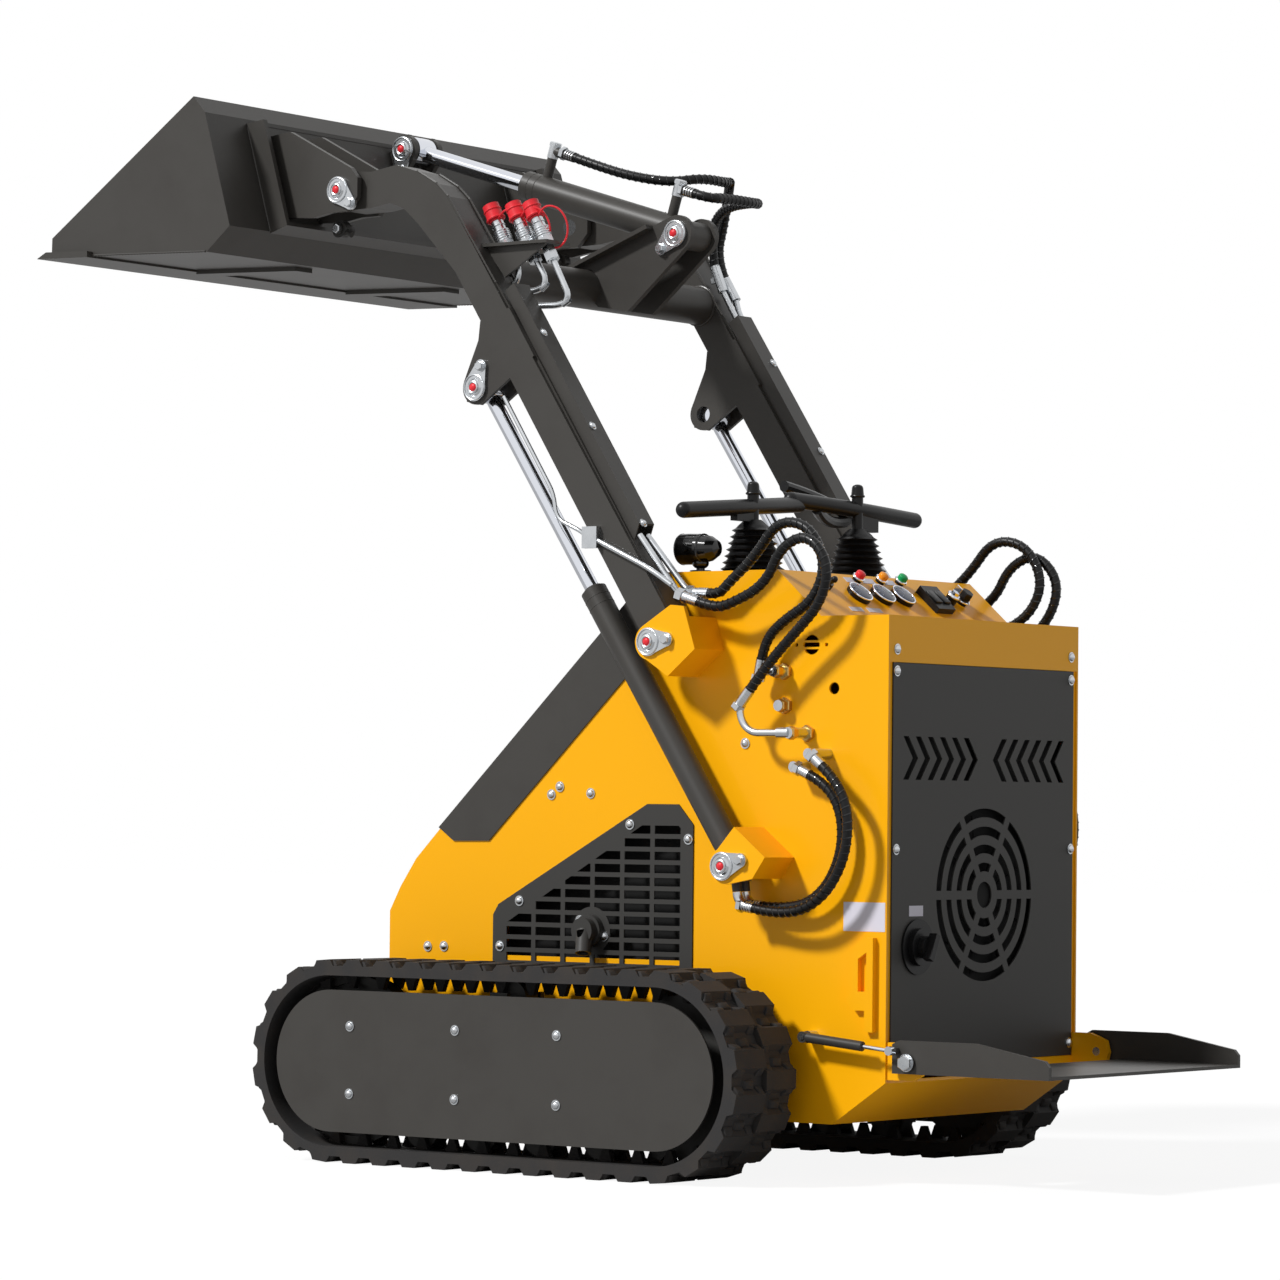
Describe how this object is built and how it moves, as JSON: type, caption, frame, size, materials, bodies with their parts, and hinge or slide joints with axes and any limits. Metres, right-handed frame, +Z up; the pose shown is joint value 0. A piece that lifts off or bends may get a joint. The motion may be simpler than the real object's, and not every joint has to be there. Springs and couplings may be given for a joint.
{
  "type": "mini skid steer loader",
  "caption": "Stand-on mini skid steer loader on rubber tracks with raised loader arms, bucket and folding rear step.",
  "frame": {"origin": "centre of the whole machine's box, on the ground under the tracks", "axes": "+X forward to the bucket, +Y to the operator's left, +Z up"},
  "size_m": [2.2216, 1.144, 2.036],
  "materials": {
    "yellow_paint": "gloss",
    "grey_paint": "satin",
    "black_paint": "satin",
    "engine_iron": "satin",
    "track_rubber": "matte",
    "chrome_rod": "polished",
    "zinc": "satin",
    "black_plastic": "matte",
    "red_plastic": "gloss",
    "hose_rubber": "matte"
  },
  "bodies": {
    "chassis": {"arm_boss_left": "yellow_paint", "arm_boss_right": "yellow_paint", "belly_plate": "yellow_paint", "body_pins": "zinc", "console_panel": "yellow_paint", "control_levers": "black_plastic", "engine_block": "engine_iron", "hood": "grey_paint", "hose_body": "hose_rubber", "hose_ends": "zinc", "hose_lift": "hose_rubber", "idler_left": "black_paint", "idler_right": "black_paint", "nose_plate": "yellow_paint", "ram_boss_left": "yellow_paint", "ram_boss_right": "yellow_paint", "rear_frame": "yellow_paint", "rear_panel": "grey_paint", "rollers_left": "black_paint", "rollers_right": "black_paint", "side_grille_left": "grey_paint", "side_grille_right": "grey_paint", "side_panel_left": "yellow_paint", "side_panel_right": "yellow_paint", "sprocket_left": "black_paint", "sprocket_right": "black_paint", "step_bolts": "zinc", "step_brackets": "yellow_paint", "switches": "black_plastic", "track_cover_left": "grey_paint", "track_cover_right": "grey_paint", "track_frame_left": "black_paint", "track_frame_right": "black_paint", "track_left": "track_rubber", "track_right": "track_rubber", "work_lamp": "black_plastic"},
    "arms": {"arm_cover_left": "grey_paint", "arm_cover_right": "grey_paint", "arm_pins": "zinc", "arm_pipes": "zinc", "coupler_caps": "red_plastic", "cross_tube": "grey_paint", "hose_arm": "hose_rubber", "loader_arm_left": "grey_paint", "loader_arm_right": "grey_paint"},
    "tool": {"bucket": "grey_paint", "attach_plate": "grey_paint", "attach_pins": "zinc"},
    "lift_barrel_left": {"lift_barrel_left": "grey_paint"},
    "lift_barrel_right": {"lift_barrel_right": "grey_paint"},
    "lift_rod_left": {"lift_rod_left": "chrome_rod"},
    "lift_rod_right": {"lift_rod_right": "chrome_rod"},
    "tilt_barrel": {"tilt_barrel": "grey_paint", "hose_tilt": "hose_rubber"},
    "tilt_rod": {"tilt_rod": "chrome_rod"},
    "step": {"step": "grey_paint"},
    "strut_body_left": {"strut_body_left": "black_paint"},
    "strut_body_right": {"strut_body_right": "black_paint"},
    "strut_rod_left": {"strut_rod_left": "chrome_rod"},
    "strut_rod_right": {"strut_rod_right": "chrome_rod"}
  },
  "joints": [
    {"name": "arm_lift", "type": "hinge", "parent": "chassis", "child": "arms", "pos_m": [-0.2932, 0, 0.973], "axis": [0, -1, 0], "range_deg": [-88, 7]},
    {"name": "bucket_tilt", "type": "hinge", "parent": "arms", "child": "tool", "pos_m": [0.4638, 0, 1.852], "axis": [0, 1, 0], "range_deg": [-90, 6]},
    {"name": "step_fold", "type": "hinge", "parent": "chassis", "child": "step", "pos_m": [-0.8142, 0, 0.223], "axis": [0, -1, 0], "range_deg": [-90, 0]},
    {"name": "lift_barrel_swing_left", "type": "hinge", "parent": "chassis", "child": "lift_barrel_left", "pos_m": [-0.4652, 0.3595, 0.566], "axis": [0, -1, 0], "range_deg": [-56.37, 4.53]},
    {"name": "lift_rod_slide_left", "type": "slide", "parent": "lift_barrel_left", "child": "lift_rod_left", "axis": [0.5568, 0, 0.8306], "range_m": [-0.40253, 0.0322]},
    {"name": "lift_barrel_swing_right", "type": "hinge", "parent": "chassis", "child": "lift_barrel_right", "pos_m": [-0.4652, -0.3595, 0.566], "axis": [0, -1, 0], "range_deg": [-56.37, 4.53]},
    {"name": "lift_rod_slide_right", "type": "slide", "parent": "lift_barrel_right", "child": "lift_rod_right", "axis": [0.5568, 0, 0.8306], "range_m": [-0.40253, 0.0322]},
    {"name": "tilt_barrel_swing", "type": "hinge", "parent": "arms", "child": "tilt_barrel", "pos_m": [-0.0732, 0, 1.771], "axis": [0, -1, 0], "range_deg": [-0.87, 12.28]},
    {"name": "tilt_rod_slide", "type": "slide", "parent": "tilt_barrel", "child": "tilt_rod", "axis": [0.9553, 0, 0.2957], "range_m": [-0.25113, 0.01693]},
    {"name": "strut_body_swing_left", "type": "hinge", "parent": "chassis", "child": "strut_body_left", "pos_m": [-0.6052, 0.348, 0.262], "axis": [0, -1, 0], "range_deg": [-0.05, 12.53]},
    {"name": "strut_rod_slide_left", "type": "slide", "parent": "strut_body_left", "child": "strut_rod_left", "axis": [-0.9954, 0, -0.0958], "range_m": [-0.0002, 0.00998]},
    {"name": "strut_body_swing_right", "type": "hinge", "parent": "chassis", "child": "strut_body_right", "pos_m": [-0.6052, -0.348, 0.262], "axis": [0, -1, 0], "range_deg": [-0.05, 12.53]},
    {"name": "strut_rod_slide_right", "type": "slide", "parent": "strut_body_right", "child": "strut_rod_right", "axis": [-0.9954, 0, -0.0958], "range_m": [-0.0002, 0.00998]}
  ],
  "couplings": [
    {"joint": "lift_barrel_swing_left", "follows": "arm_lift", "ratio": 0.63996},
    {"joint": "lift_rod_slide_left", "follows": "arm_lift", "m_per_rad": 0.26195},
    {"joint": "lift_barrel_swing_right", "follows": "arm_lift", "ratio": 0.63996},
    {"joint": "lift_rod_slide_right", "follows": "arm_lift", "m_per_rad": 0.26195},
    {"joint": "tilt_barrel_swing", "follows": "bucket_tilt", "ratio": -0.13587},
    {"joint": "tilt_rod_slide", "follows": "bucket_tilt", "m_per_rad": 0.15974},
    {"joint": "strut_body_swing_left", "follows": "step_fold", "ratio": -0.13865},
    {"joint": "strut_rod_slide_left", "follows": "step_fold", "m_per_rad": -0.00623},
    {"joint": "strut_body_swing_right", "follows": "step_fold", "ratio": -0.13865},
    {"joint": "strut_rod_slide_right", "follows": "step_fold", "m_per_rad": -0.00623}
  ]
}
